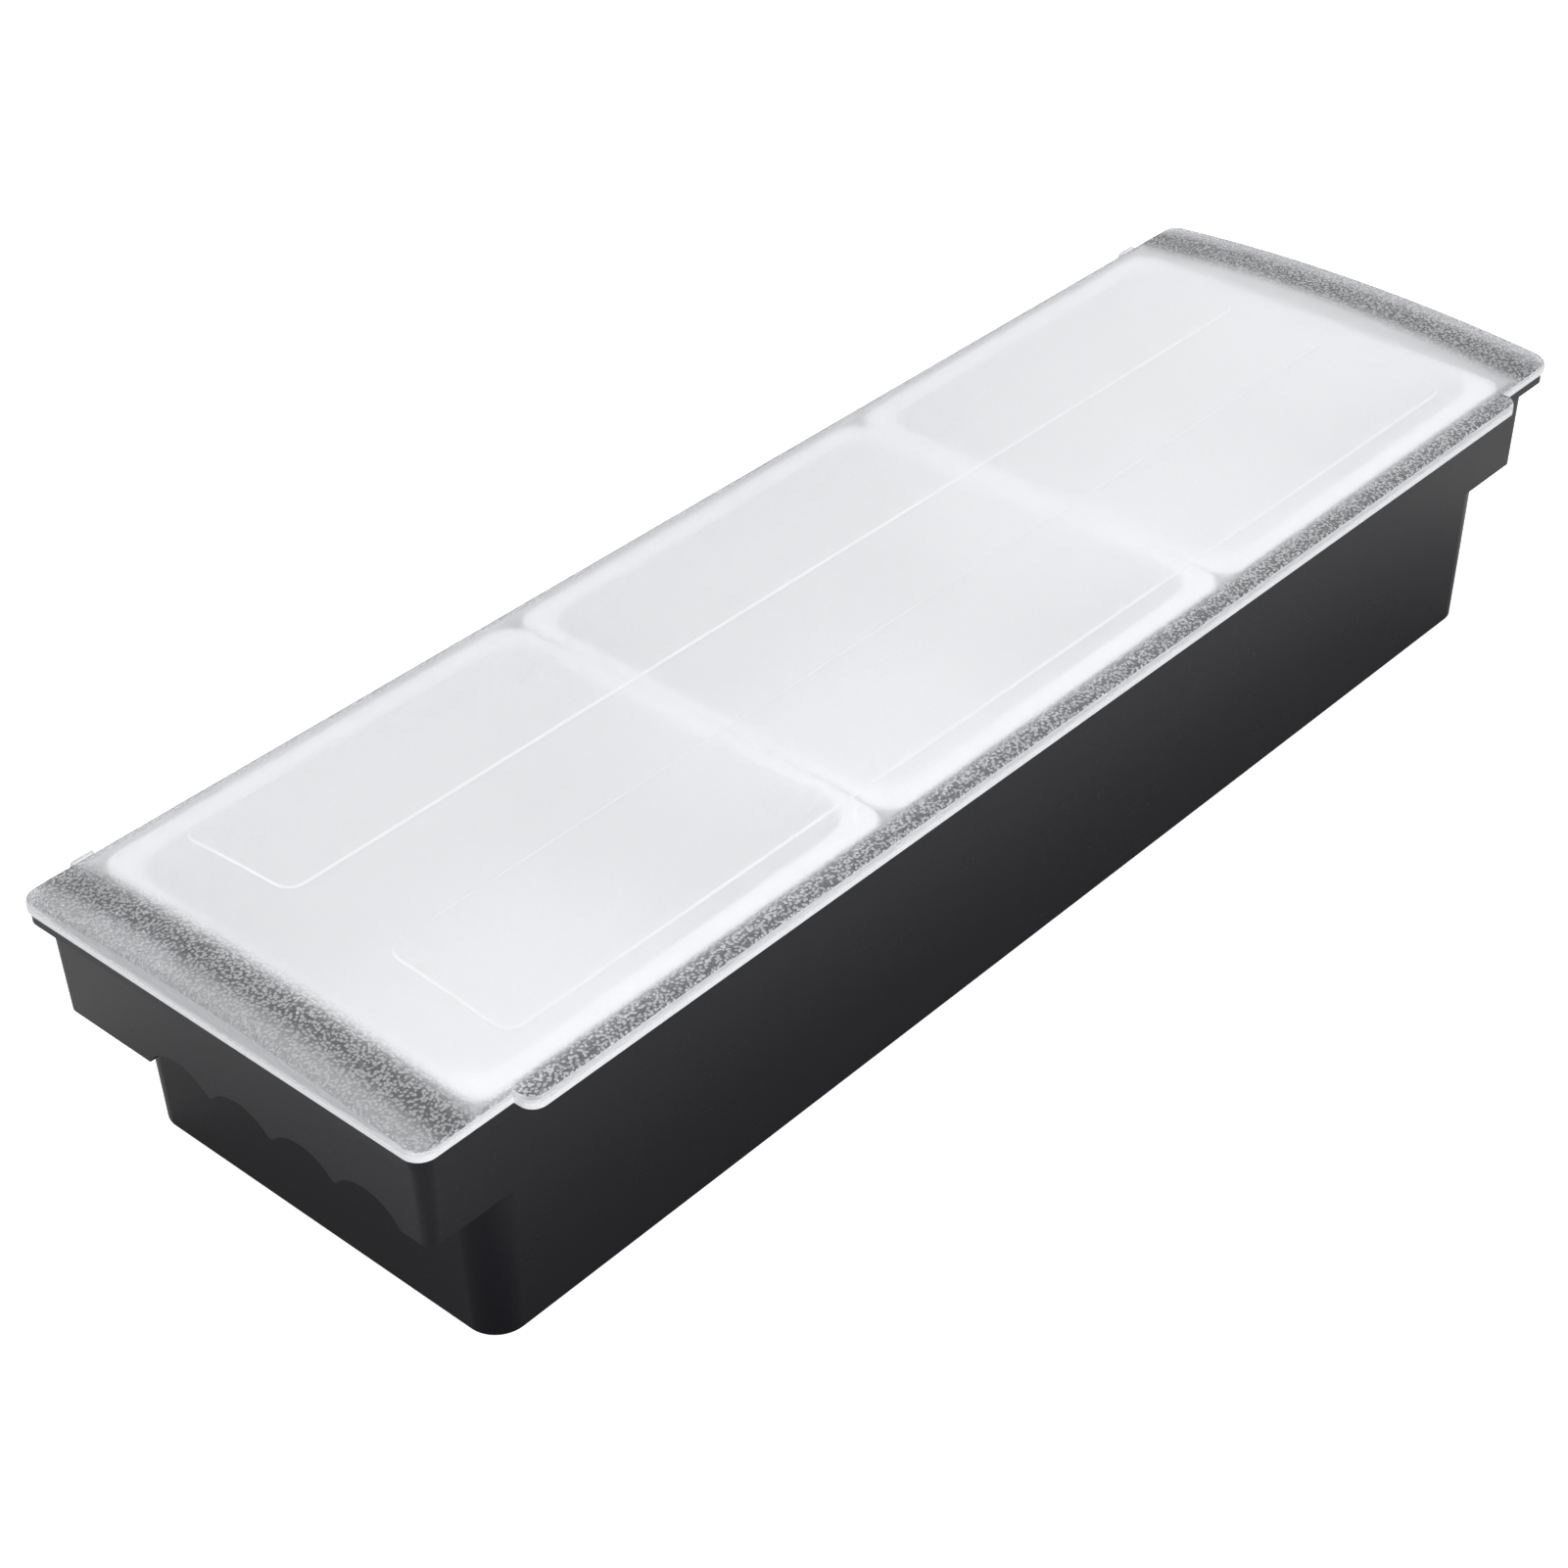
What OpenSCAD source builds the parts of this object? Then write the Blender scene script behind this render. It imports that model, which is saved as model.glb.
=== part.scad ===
// Bar garnish tray: a black tub with grip handles at both ends, three lift-out
// inserts hung from its rim, and a frosted lid hinged along the back edge.
// X runs along the length, -Y is the front with the finger lip, Z is up from the underside.

/* [Lid] */
// Length of the lid
lid_len = 495; // [460:1:540]
// Depth of the lid without its front lip
lid_w = 150.5; // [140:0.5:170]
// Corner radius of the lid
lid_r = 5.5; // [3:0.5:9]
// Wall thickness of the lid
lid_wall = 1.8; // [1.4:0.1:2.4]
// Height of the lid's straight side
lid_side_h = 3.7; // [3:0.1:6]
// Rise of the arched top above the sides
lid_rise = 4.9; // [3:0.1:8]

/* [Front lip] */
// Length of the finger lip
lip_len = 434; // [300:1:450]
// Reach of the lip in front of the lid
lip_reach = 6.6; // [4:0.1:12]
// Height of the lip
lip_h = 4.4; // [3.6:0.1:6]
// Radius of the lip's outer corners
lip_r = 4.5; // [2:0.5:6]
// Reach of the lip's flat top behind the lid's front face
lip_root = 0.7; // [0.3:0.1:1.5]

/* [Lid panels] */
// Length of the two raised panels
panel_len = 411; // [300:1:430]
// Width of one raised panel
panel_w = 45; // [30:1:52]
// Distance between the two panels
panel_gap = 34; // [20:1:44]
// Corner radius of a panel
panel_r = 6; // [3:0.5:12]
// Height of a panel above the top
panel_step = 0.35; // [0.2:0.05:0.8]

/* [Lid ribs] */
// Distance of each end rib from the lid's end
rib_inset = 9.5; // [6:0.5:14]
// Length of an end rib
rib_len = 31; // [20:1:40]
// Distance of a rib's middle behind the lid's centre line
rib_back = 42; // [20:1:50]
// Thickness of a rib and its gussets
rib_t = 1.6; // [1:0.1:2.2]
// Reach of the two gussets on a rib
gusset_reach = 3.5; // [2:0.5:5]
// Distance between a rib's two gussets
gusset_gap = 12; // [6:1:18]

/* [Tub] */
// Height of the tub at its rim
tub_h = 82.45; // [70:0.05:100]
// Length of the tub at its underside
tub_len = 445.5; // [420:0.5:460]
// Width of the tub at its underside
tub_w = 135.6; // [125:0.1:138]
// Corner radius at the underside
tub_r = 9.3; // [6:0.1:16]
// Outward slope of the tub walls in degrees
tub_draft = 2.3; // [1:0.1:3]
// Wall thickness of the tub
tub_wall = 3; // [2.4:0.1:4]
// Thickness of the tub floor
floor_t = 3; // [2.4:0.1:5]
// Thickness of the rim
rim_t = 3.4; // [2.6:0.1:5]
// Distance of the rim's edge inside the lid's edge
rim_inset = 0.8; // [0.6:0.1:1.6]
// Distance of the tub's walls behind the rim's centre line
tub_back = 0.9; // [0:0.1:2]

/* [Grip handles] */
// Distance of the grip skirt's top inside the rim's end
skirt_inset = 3.6; // [3:0.1:8]
// Depth of the skirt below the rim's top
skirt_h = 34; // [26:0.5:44]
// Wall thickness of the skirt
skirt_wall = 2.6; // [2:0.1:3.4]
// Corner radius of the skirts where their slope reaches the underside's level
skirt_r = 1.5; // [1:0.1:5]
// Number of finger scallops in each skirt
finger_count = 4; // [3:1:5]
// Distance between scallops
finger_pitch = 23.5; // [20:0.5:26]
// Radius of a scallop
finger_r = 14; // [13.5:0.1:18]
// Depth of a scallop
finger_depth = 7; // [4:0.5:9]
// Distance of the scallops' middle in front of the centre line
finger_front = 11; // [0:0.5:14]

/* [Inserts] */
// Depth of an insert below its rim
insert_depth = 58; // [40:1:70]
// Wall thickness of an insert
insert_wall = 1.6; // [1.2:0.1:2.4]
// Thickness of an insert's rim
insert_rim_t = 1.6; // [1.4:0.1:2.4]
// Slope of an insert's walls in degrees
insert_draft = 4; // [2:0.5:6]
// Corner radius of an insert's rim
insert_r = 8; // [5:0.5:14]
// Corner radius of an insert's body under its rim
insert_body_r = 13; // [11:0.5:20]
// Height of the sloped toe round an insert's floor
insert_toe = 6; // [3:0.5:10]
// Distance that the outer rims reach over the tub's ends
seat_overlap = 2.2; // [1.2:0.1:3]
// Distance that the rims reach over the tub's long edges
seat_side = 4; // [2:0.1:4.5]
// Gap between neighbouring rims
insert_gap = 0.8; // [0.4:0.1:6]
// Gap from an insert's walls to the tub's walls under the rim
insert_clear = 1.2; // [0.8:0.1:3]

/* [Hinge] */
// Distance of each hinge from the lid's end
hinge_inset = 12.5; // [10:0.5:20]
// Height of the hinge axis below the rim's top
hinge_drop = 0.95; // [0.8:0.05:1.4]
// Radius of the hinge knuckles
knuckle_r = 2.4; // [2.2:0.1:2.8]
// Width of the lid's knuckle
knuckle_w = 7; // [5:0.5:10]
// Width of each ear on the base
ear_w = 2.4; // [2:0.1:4]
// Diameter of the hinge pin
pin_d = 2; // [1.6:0.1:2.4]
// Opening angle of the lid in degrees
open_angle = 110; // [95:1:120]
// Reach of the stop lugs that end the opening
stop_reach = 3.6; // [3:0.1:5]
// Width of a stop lug
stop_w = 7; // [5:0.5:10]

/* [Hidden] */
$fn = 96;

// Nearest hundredth, so that faces worked out in different ways still meet
function hundredth(x) = round(x * 100) / 100;

// Gap between the closed lid and the rim
lid_gap = 0.3;
// Gap round a knuckle or an ear that turns past it
swing_gap = 0.4;
// Gap beside a knuckle
side_gap = 0.3;
// Radial running clearance of a pin in the lid's knuckle
pin_play = 0.08;
// Gap left between a stop lug and the rim when the lid is fully open
stop_gap = 0.3;
// Corner radius inside the skirts, at the underside's level like skirt_r
skirt_inner_r = 0.5;
// Overlap that carries a cut through a face
cut = 1;

// Heights of the closed lid
lid_z = tub_h + lid_gap;
lid_top = lid_z + lid_side_h + lid_rise;
arch_r = ((lid_w / 2) ^ 2 + lid_rise ^ 2) / (2 * lid_rise);

// The hinge axis lies in the plane of the lid's back face
hinge_z = tub_h - hinge_drop;
hinge_x = lid_len / 2 - hinge_inset;
stop_t = rim_inset - stop_gap + lid_wall + 0.1;
stop_x = hinge_x - knuckle_w / 2 - side_gap - ear_w - 2 * side_gap - stop_w / 2;
ear_x = knuckle_w / 2 + side_gap + ear_w / 2;

// The lid's centre is moved back so that the whole part is centred on its own depth
back_reach = stop_reach * sin(open_angle) - (rim_inset - stop_gap) * cos(open_angle);
lid_y = hundredth((lip_reach - back_reach) / 2);
hinge_y = lid_y + lid_w / 2;

// The rim follows the lid's edge, and the tub's walls slope out to meet it
rim_len = lid_len - 2 * rim_inset;
rim_w = lid_w - 2 * rim_inset;
rim_r = lid_r - rim_inset;
tub_grow = hundredth(tub_h * tan(tub_draft));
mouth_len = tub_len + 2 * tub_grow - 2 * tub_wall;
mouth_w = tub_w + 2 * tub_grow - 2 * tub_wall;
skirt_x = rim_len / 2 - skirt_inset;
skirt_z = tub_h - skirt_h;
skirt_len = 2 * (skirt_x - tub_grow);

// The inserts share the tub's mouth and hang from its edge
insert_count = 3;
rims_len = mouth_len + 2 * seat_overlap;
insert_len = hundredth((rims_len - (insert_count - 1) * insert_gap) / insert_count);
insert_w = mouth_w + 2 * seat_side;
insert_pitch = insert_len + insert_gap;
insert_end_in = seat_overlap + insert_clear;
insert_side_in = seat_side + insert_clear + tub_back;
insert_shrink = hundredth(insert_depth * tan(insert_draft));

// Rounded rectangle in the plane
module rounded_rect(length, width, radius) {
    square([length - 2 * radius, width], center = true);
    square([length, width - 2 * radius], center = true);
    for (sx = [-1, 1], sy = [-1, 1])
        translate([sx * (length / 2 - radius), sy * (width / 2 - radius)])
            circle(r = radius);
}

// Rounded box whose walls slope out by draft degrees from the given bottom size
module sloped_box(length, width, radius, height, draft) {
    grow = hundredth(height * tan(draft));
    corner = hundredth(radius);
    mid_x = hundredth(length / 2 - corner);
    mid_y = hundredth(width / 2 - corner);
    for (sx = [-1, 1], sy = [-1, 1])
        translate([sx * mid_x, sy * mid_y, 0])
            cylinder(r1 = corner, r2 = corner + grow, h = height);
    translate([-mid_x, 0, 0])
        rotate([90, 0, 90])
            linear_extrude(2 * mid_x)
                trapezoid(mid_y + corner, grow, height);
    translate([0, mid_y, 0])
        rotate([90, 0, 0])
            linear_extrude(2 * mid_y)
                trapezoid(mid_x + corner, grow, height);
}

// Upright trapezoid on the X axis, wider by grow on each side at its top
module trapezoid(half, grow, height) {
    polygon([[-half, 0], [half, 0], [half + grow, height], [-half - grow, height]]);
}

// Cylinder along X, centred on the hinge axis
module on_hinge(radius, width) {
    translate([0, hinge_y, hinge_z])
        rotate([0, 90, 0])
            cylinder(r = radius, h = width, center = true);
}

// Everything under an arch that lies lower by the given distance than the lid's top
module under_arch(lower) {
    translate([0, lid_y, lid_top - arch_r])
        rotate([0, 90, 0])
            cylinder(r = arch_r - lower, h = 2 * lid_len, center = true, $fn = 720);
}

// Upright prism under the arch, from the given height up
module arched_prism(length, width, radius, from_z, lower) {
    intersection() {
        under_arch(lower);
        translate([0, lid_y, from_z])
            linear_extrude(lid_top - from_z + cut)
                rounded_rect(length, width, radius);
    }
}

// Tub with its rim and grip skirts. The walls stand a little further back than the rim
module tub() {
    difference() {
        union() {
            translate([0, tub_back, 0]) {
                sloped_box(tub_len, tub_w, tub_r, tub_h, tub_draft);
                grip_skirts();
            }
            translate([0, 0, tub_h - rim_t])
                linear_extrude(rim_t)
                    rounded_rect(rim_len, rim_w, rim_r);
        }
        translate([0, tub_back, floor_t])
            sloped_box(
                mouth_len - 2 * (tub_h - floor_t) * tan(tub_draft),
                mouth_w - 2 * (tub_h - floor_t) * tan(tub_draft),
                tub_r + tub_grow - tub_wall - (tub_h - floor_t) * tan(tub_draft),
                tub_h - floor_t + cut,
                tub_draft
            );
    }
}

// Skirts that hang from the rim a hand's thickness beyond both ends of the tub, flush with its long walls
module grip_skirts() {
    difference() {
        intersection() {
            sloped_box(skirt_len, tub_w, skirt_r, tub_h, tub_draft);
            translate([-lid_len / 2, -lid_w / 2, skirt_z])
                cube([lid_len, lid_w, skirt_h - rim_t / 2]);
        }
        sloped_box(
            skirt_len - 2 * skirt_wall,
            tub_w - 2 * skirt_wall,
            skirt_inner_r,
            tub_h,
            tub_draft
        );
        for (side = [-1, 1])
            finger_scallops(side);
    }
}

module finger_scallops(side) {
    first = -tub_back - finger_front - (finger_count - 1) / 2 * finger_pitch;
    for (i = [0 : finger_count - 1])
        translate([side * skirt_x, first + i * finger_pitch, skirt_z + finger_depth - finger_r])
            rotate([0, 90, 0])
                cylinder(r = finger_r, h = 4 * skirt_wall, center = true);
}

// Ears that hold a hinge pin on both sides of the lid's knuckle
module hinge_ears() {
    for (side = [-1, 1])
        translate([side * ear_x, 0, 0]) {
            on_hinge(knuckle_r, ear_w);
            translate([-ear_w / 2, hinge_y - knuckle_r, tub_h - rim_t])
                cube([ear_w, knuckle_r, rim_t]);
        }
}

module base() {
    color("#1b1b1d")
        difference() {
            union() {
                translate([0, lid_y, 0])
                    tub();
                for (side = [-1, 1])
                    translate([side * hinge_x, 0, 0])
                        hinge_ears();
            }
            for (side = [-1, 1])
                translate([side * hinge_x, 0, 0]) {
                    on_hinge(knuckle_r + swing_gap, knuckle_w + 2 * side_gap);
                    on_hinge(pin_d / 2, knuckle_w + 2 * side_gap + 2 * ear_w + cut);
                }
        }
}

// Arched shell of the lid, open below
module lid_shell() {
    inner_len = lid_len - 2 * lid_wall;
    inner_w = lid_w - 2 * lid_wall;
    difference() {
        arched_prism(lid_len, lid_w, lid_r, lid_z, 0);
        arched_prism(inner_len, inner_w, lid_r - lid_wall, lid_z - cut, lid_wall);
    }
    for (side = [-1, 1])
        raised_panel(side);
}

// Raised panel with the same arch as the top
module raised_panel(side) {
    intersection() {
        under_arch(-panel_step);
        translate([0, lid_y + side * (panel_gap + panel_w) / 2, lid_top - lid_rise])
            linear_extrude(lid_rise + panel_step)
                rounded_rect(panel_len, panel_w, panel_r);
        difference() {
            translate([0, 0, lid_top - lid_rise])
                linear_extrude(lid_rise + cut)
                    square([lid_len, 2 * lid_w], center = true);
            under_arch(lid_wall / 2);
        }
    }
}

// Finger lip along the front, hollow from below
module finger_lip() {
    face_y = lid_y - lid_w / 2;
    difference() {
        translate([0, face_y + lip_root, lid_z])
            linear_extrude(lip_h)
                lip_outline(lip_len, lip_reach + lip_root, lip_r);
        translate([0, face_y, lid_z - cut])
            linear_extrude(lip_h - lid_wall + cut)
                lip_outline(lip_len - 2 * lid_wall, lip_reach - lid_wall, lip_r - lid_wall);
    }
}

// Strip in front of the X axis with rounded corners on its front side
module lip_outline(length, width, radius) {
    intersection() {
        rounded_rect(length, 2 * width, radius);
        translate([-length / 2, -width])
            square([length, width]);
    }
}

// Rib under the top near each end, with two gussets
module end_rib(side) {
    low = lid_z + lid_gap;
    intersection() {
        under_arch(lid_wall / 2);
        translate([side * (lid_len / 2 - rib_inset), lid_y + rib_back, low]) {
            translate([-rib_t / 2, -rib_len / 2, 0])
                cube([rib_t, rib_len, lid_top - low]);
            for (end = [-1, 1])
                translate([-side * gusset_reach / 2, end * gusset_gap / 2, (lid_top - low) / 2])
                    cube([gusset_reach, rib_t, lid_top - low], center = true);
        }
    }
}

// Knuckle that hangs from the lid's back wall between two ears
module lid_knuckle() {
    on_hinge(knuckle_r, knuckle_w);
    translate([-knuckle_w / 2, hinge_y - knuckle_r, hinge_z])
        cube([knuckle_w, knuckle_r, lid_z + lid_side_h - lid_wall / 2 - hinge_z]);
}

// Lug that meets the rim's back edge when the lid is fully open
module stop_lug() {
    translate([0, hinge_y, hinge_z])
        rotate([open_angle, 0, 0])
            translate([-stop_w / 2, stop_gap - rim_inset, -stop_reach])
                cube([stop_w, stop_t, stop_reach]);
}

module lid() {
    color("#e4e6ea")
        difference() {
            union() {
                difference() {
                    union() {
                        lid_shell();
                        finger_lip();
                    }
                    for (side = [-1, 1], end = [-1, 1])
                        translate([side * hinge_x + end * ear_x, 0, 0])
                            on_hinge(knuckle_r + swing_gap, ear_w + 2 * side_gap);
                }
                for (side = [-1, 1]) {
                    end_rib(side);
                    translate([side * hinge_x, 0, 0])
                        lid_knuckle();
                    translate([side * stop_x, 0, 0])
                        stop_lug();
                }
            }
            for (side = [-1, 1])
                translate([side * hinge_x, 0, 0])
                    on_hinge(pin_d / 2 + pin_play, knuckle_w + cut);
        }
}

// Outside of an insert, or its inside when set in by a wall
module insert_form(set_in, floor_in, top_up) {
    body_len = insert_len - 2 * insert_end_in - 2 * set_in;
    body_w = insert_w - 2 * insert_side_in - 2 * set_in;
    body_r = insert_body_r - set_in;
    toe_shrink = insert_shrink - insert_toe * tan(insert_draft);
    translate([0, 0, -insert_depth + insert_toe])
        sloped_box(
            body_len - 2 * toe_shrink,
            body_w - 2 * toe_shrink,
            body_r - toe_shrink,
            insert_depth - insert_toe + top_up,
            insert_draft
        );
    toe_in = (insert_toe - floor_in) * tan(45);
    translate([0, 0, -insert_depth + floor_in])
        sloped_box(
            body_len - 2 * toe_shrink - 2 * toe_in,
            body_w - 2 * toe_shrink - 2 * toe_in,
            body_r - toe_shrink - toe_in,
            insert_toe - floor_in,
            45
        );
}

// One insert with its rim on the tub's edge
module insert(place) {
    color("#f4f4f2")
        translate([(place - (insert_count - 1) / 2) * insert_pitch, lid_y, tub_h])
            difference() {
                union() {
                    insert_form(0, 0, 0);
                    linear_extrude(insert_rim_t)
                        rounded_rect(insert_len, insert_w, insert_r);
                }
                insert_form(insert_wall, insert_wall, insert_rim_t + cut);
            }
}

module hinge_pin(side) {
    color("#c9ccd0")
        translate([side * hinge_x, 0, 0])
            on_hinge(pin_d / 2, knuckle_w + 2 * side_gap + 2 * ear_w);
}

base();
lid();
insert(0);  // insert_left
insert(1);  // insert_middle
insert(2);  // insert_right
hinge_pin(-1);  // hinge_pin_left
hinge_pin(1);  // hinge_pin_right
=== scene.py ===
import math

import bmesh
import bpy
from mathutils import Matrix, Vector


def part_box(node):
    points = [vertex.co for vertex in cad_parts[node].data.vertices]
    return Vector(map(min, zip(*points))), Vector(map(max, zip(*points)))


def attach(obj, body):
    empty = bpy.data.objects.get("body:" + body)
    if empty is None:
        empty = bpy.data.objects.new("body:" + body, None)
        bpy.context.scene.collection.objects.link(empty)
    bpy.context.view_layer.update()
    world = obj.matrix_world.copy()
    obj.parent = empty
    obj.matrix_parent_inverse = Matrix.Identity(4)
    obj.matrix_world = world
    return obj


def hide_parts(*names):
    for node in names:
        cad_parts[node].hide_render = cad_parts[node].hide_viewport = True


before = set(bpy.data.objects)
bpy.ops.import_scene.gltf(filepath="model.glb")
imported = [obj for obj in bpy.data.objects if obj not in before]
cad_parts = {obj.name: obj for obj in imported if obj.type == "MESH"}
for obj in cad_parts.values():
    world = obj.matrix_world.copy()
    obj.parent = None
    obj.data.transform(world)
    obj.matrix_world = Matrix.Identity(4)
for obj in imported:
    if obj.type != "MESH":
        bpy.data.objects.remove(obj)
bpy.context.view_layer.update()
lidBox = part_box("lid")
print("frame loaded")

tiny = 1e-5  # two places nearer than this are the same, in metres


def calm():
    if bpy.context.mode != "OBJECT":
        bpy.ops.object.mode_set(mode="OBJECT")
    bpy.ops.object.select_all(action="DESELECT")


def pickUp(obj):
    calm()
    bpy.context.view_layer.objects.active = obj
    obj.select_set(True)


def editing(obj, what="EDGE"):  # edit mode with nothing selected
    pickUp(obj)
    bpy.ops.object.mode_set(mode="EDIT")
    bpy.ops.mesh.select_mode(type=what)
    bpy.ops.mesh.select_all(action="DESELECT")


def pickEdges(obj, test):  # test gets the two ends of an edge
    mesh = bmesh.from_edit_mesh(obj.data)
    for edge in mesh.edges:
        edge.select_set(bool(test(edge.verts[0].co, edge.verts[1].co)))
    mesh.select_flush_mode()
    bmesh.update_edit_mesh(obj.data)


def block(name, low, high):
    calm()
    middle = [(a + b) / 2 for a, b in zip(low, high)]
    bpy.ops.mesh.primitive_cube_add(size=1, location=middle)
    obj = bpy.context.active_object
    obj.name = name
    obj.scale = [b - a for a, b in zip(low, high)]
    bpy.ops.object.transform_apply(location=True, rotation=True, scale=True)
    return obj


def roundedBlock(name, low, high, radius, segments=10):
    obj = block(name, low, high)
    editing(obj)
    pickEdges(obj, lambda a, b: abs(a.z - b.z) > tiny)
    bpy.ops.mesh.bevel(offset=radius, segments=segments, clamp_overlap=False)
    calm()
    return obj


def roundTop(obj, radius, segments=4):  # rounds the outline of the top face
    top = max(v.co.z for v in obj.data.vertices)
    editing(obj)
    pickEdges(obj, lambda a, b: a.z > top - tiny and b.z > top - tiny)
    bpy.ops.mesh.bevel(offset=radius, segments=segments, clamp_overlap=False)
    calm()


def hungCup(name, middle, length, width, radius, steps, segments=10):
    # closed form that narrows downwards from a rounded top outline, by steps of (inset, depth)
    calm()
    bpy.ops.mesh.primitive_plane_add(size=1, location=middle)
    obj = bpy.context.active_object
    obj.name = name
    obj.scale = (length, width, 1)
    bpy.ops.object.transform_apply(location=True, rotation=True, scale=True)
    editing(obj, "VERT")
    bpy.ops.mesh.select_all(action="SELECT")
    bpy.ops.mesh.bevel(offset=radius, segments=segments, affect="VERTICES", clamp_overlap=False)
    bpy.ops.mesh.select_mode(type="FACE")
    bpy.ops.mesh.select_all(action="SELECT")
    for inset, depth in steps:
        bpy.ops.mesh.inset(thickness=inset, depth=-depth)
    bpy.ops.mesh.select_mode(type="EDGE")
    bpy.ops.mesh.select_all(action="DESELECT")
    pickEdges(obj, lambda a, b: a.z > middle[2] - tiny and b.z > middle[2] - tiny)
    bpy.ops.mesh.edge_face_add()
    bpy.ops.mesh.select_all(action="SELECT")
    bpy.ops.mesh.normals_make_consistent(inside=False)
    calm()
    return obj


def rod(name, middle, radius, length, segments=40):  # cylinder along X
    calm()
    bpy.ops.mesh.primitive_cylinder_add(
        vertices=segments, radius=radius, depth=length, location=middle, rotation=(0, math.pi / 2, 0)
    )
    obj = bpy.context.active_object
    obj.name = name
    bpy.ops.object.transform_apply(location=True, rotation=True, scale=True)
    return obj


def combine(obj, other, how):  # how is UNION or DIFFERENCE, other is used up
    pickUp(obj)
    step = obj.modifiers.new("combine", "BOOLEAN")
    step.operation = how
    step.solver = "EXACT"
    step.object = other
    bpy.ops.object.modifier_apply(modifier=step.name)
    bpy.data.objects.remove(other, do_unlink=True)


def smooth(obj, angle=32):
    pickUp(obj)
    bpy.ops.object.shade_smooth_by_angle(angle=math.radians(angle))
    step = obj.modifiers.new("even", "WEIGHTED_NORMAL")
    step.keep_sharp = True
    step.weight = 80
    bpy.ops.object.modifier_apply(modifier=step.name)


def softenEdges(obj, width, segments=2, angle=30):
    pickUp(obj)
    step = obj.modifiers.new("soften", "BEVEL")
    step.width = width
    step.segments = segments
    step.limit_method = "ANGLE"
    step.angle_limit = math.radians(angle)
    step.use_clamp_overlap = True
    step.miter_outer = "MITER_ARC"
    bpy.ops.object.modifier_apply(modifier=step.name)


def tidyMesh(obj, merge=2e-6, flat=0.05):
    editing(obj, "VERT")
    bpy.ops.mesh.select_all(action="SELECT")
    bpy.ops.mesh.remove_doubles(threshold=merge)
    bpy.ops.mesh.dissolve_limited(angle_limit=math.radians(flat))
    calm()


def newGroup(name, inputs, outputs):
    group = bpy.data.node_groups.new(name, "ShaderNodeTree")
    for label, kind, value in inputs:
        socket = group.interface.new_socket(name=label, in_out="INPUT", socket_type=kind)
        if value is not None:
            socket.default_value = value
    for label, kind in outputs:
        group.interface.new_socket(name=label, in_out="OUTPUT", socket_type=kind)
    return group, group.nodes.new("NodeGroupInput"), group.nodes.new("NodeGroupOutput")


def addNode(tree, kind, **values):
    node = tree.nodes.new(kind)
    for key, value in values.items():
        setattr(node, key, value)
    return node


def mathNode(tree, how, first, second=None):
    node = addNode(tree, "ShaderNodeMath", operation=how)
    for socket, value in zip(node.inputs, (first, second)):
        if value is None:
            continue
        if isinstance(value, (int, float)):
            socket.default_value = value
        else:
            tree.links.new(value, socket)
    return node.outputs[0]


def fadeBetween(tree, value, span, levels):  # soft step from the first level to the second over the span
    fade = addNode(tree, "ShaderNodeMapRange", interpolation_type="SMOOTHSTEP")
    fade.inputs["From Min"].default_value, fade.inputs["From Max"].default_value = span
    fade.inputs["To Min"].default_value, fade.inputs["To Max"].default_value = levels
    tree.links.new(value, fade.inputs["Value"])
    return fade.outputs[0]


pebble = {
    "wormNoise": {"Scale": 1.15, "Detail": 1.5, "Roughness": 0.45, "Distortion": 0.7},
    "wormHeight": 1.6,
    "cellHeight": -1.0,
    "cellBlur": 0.5,
}

# Moulded pebble grain: soft worms and cells of uneven size
pebbleGroup, pebbleIn, pebbleOut = newGroup(
    "mouldedPebble",
    [("Cell Size", "NodeSocketFloat", 0.0013), ("Worms", "NodeSocketFloat", 0.25)],
    [("Height", "NodeSocketFloat")],
)
pebbleCoords = addNode(pebbleGroup, "ShaderNodeTexCoord")
pebbleSpan = addNode(pebbleGroup, "ShaderNodeVectorMath", operation="SCALE")
pebbleGroup.links.new(pebbleCoords.outputs["Object"], pebbleSpan.inputs[0])
pebblePerMetre = mathNode(pebbleGroup, "DIVIDE", 1.0, pebbleIn.outputs["Cell Size"])
pebbleGroup.links.new(pebblePerMetre, pebbleSpan.inputs["Scale"])
pebbleWorms = addNode(pebbleGroup, "ShaderNodeTexNoise")
for label, value in pebble["wormNoise"].items():
    pebbleWorms.inputs[label].default_value = value
pebbleGroup.links.new(pebbleSpan.outputs[0], pebbleWorms.inputs["Vector"])
pebbleCells = addNode(pebbleGroup, "ShaderNodeTexVoronoi", feature="SMOOTH_F1")
pebbleCells.inputs["Scale"].default_value = 1.0
pebbleCells.inputs["Smoothness"].default_value = pebble["cellBlur"]
pebbleGroup.links.new(pebbleSpan.outputs[0], pebbleCells.inputs["Vector"])
pebbleBlend = addNode(pebbleGroup, "ShaderNodeMix", data_type="FLOAT")
pebbleGroup.links.new(pebbleIn.outputs["Worms"], pebbleBlend.inputs["Factor"])
for source, share, socket in (
    (pebbleCells.outputs["Distance"], pebble["cellHeight"], "A"),
    (pebbleWorms.outputs["Fac"], pebble["wormHeight"], "B"),
):
    pebbleGroup.links.new(mathNode(pebbleGroup, "MULTIPLY", source, share), pebbleBlend.inputs[socket])
pebbleGroup.links.new(pebbleBlend.outputs["Result"], pebbleOut.inputs["Height"])

grain = {"fineDetail": 3, "glossScale": 30, "glossDetail": 4}

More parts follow.
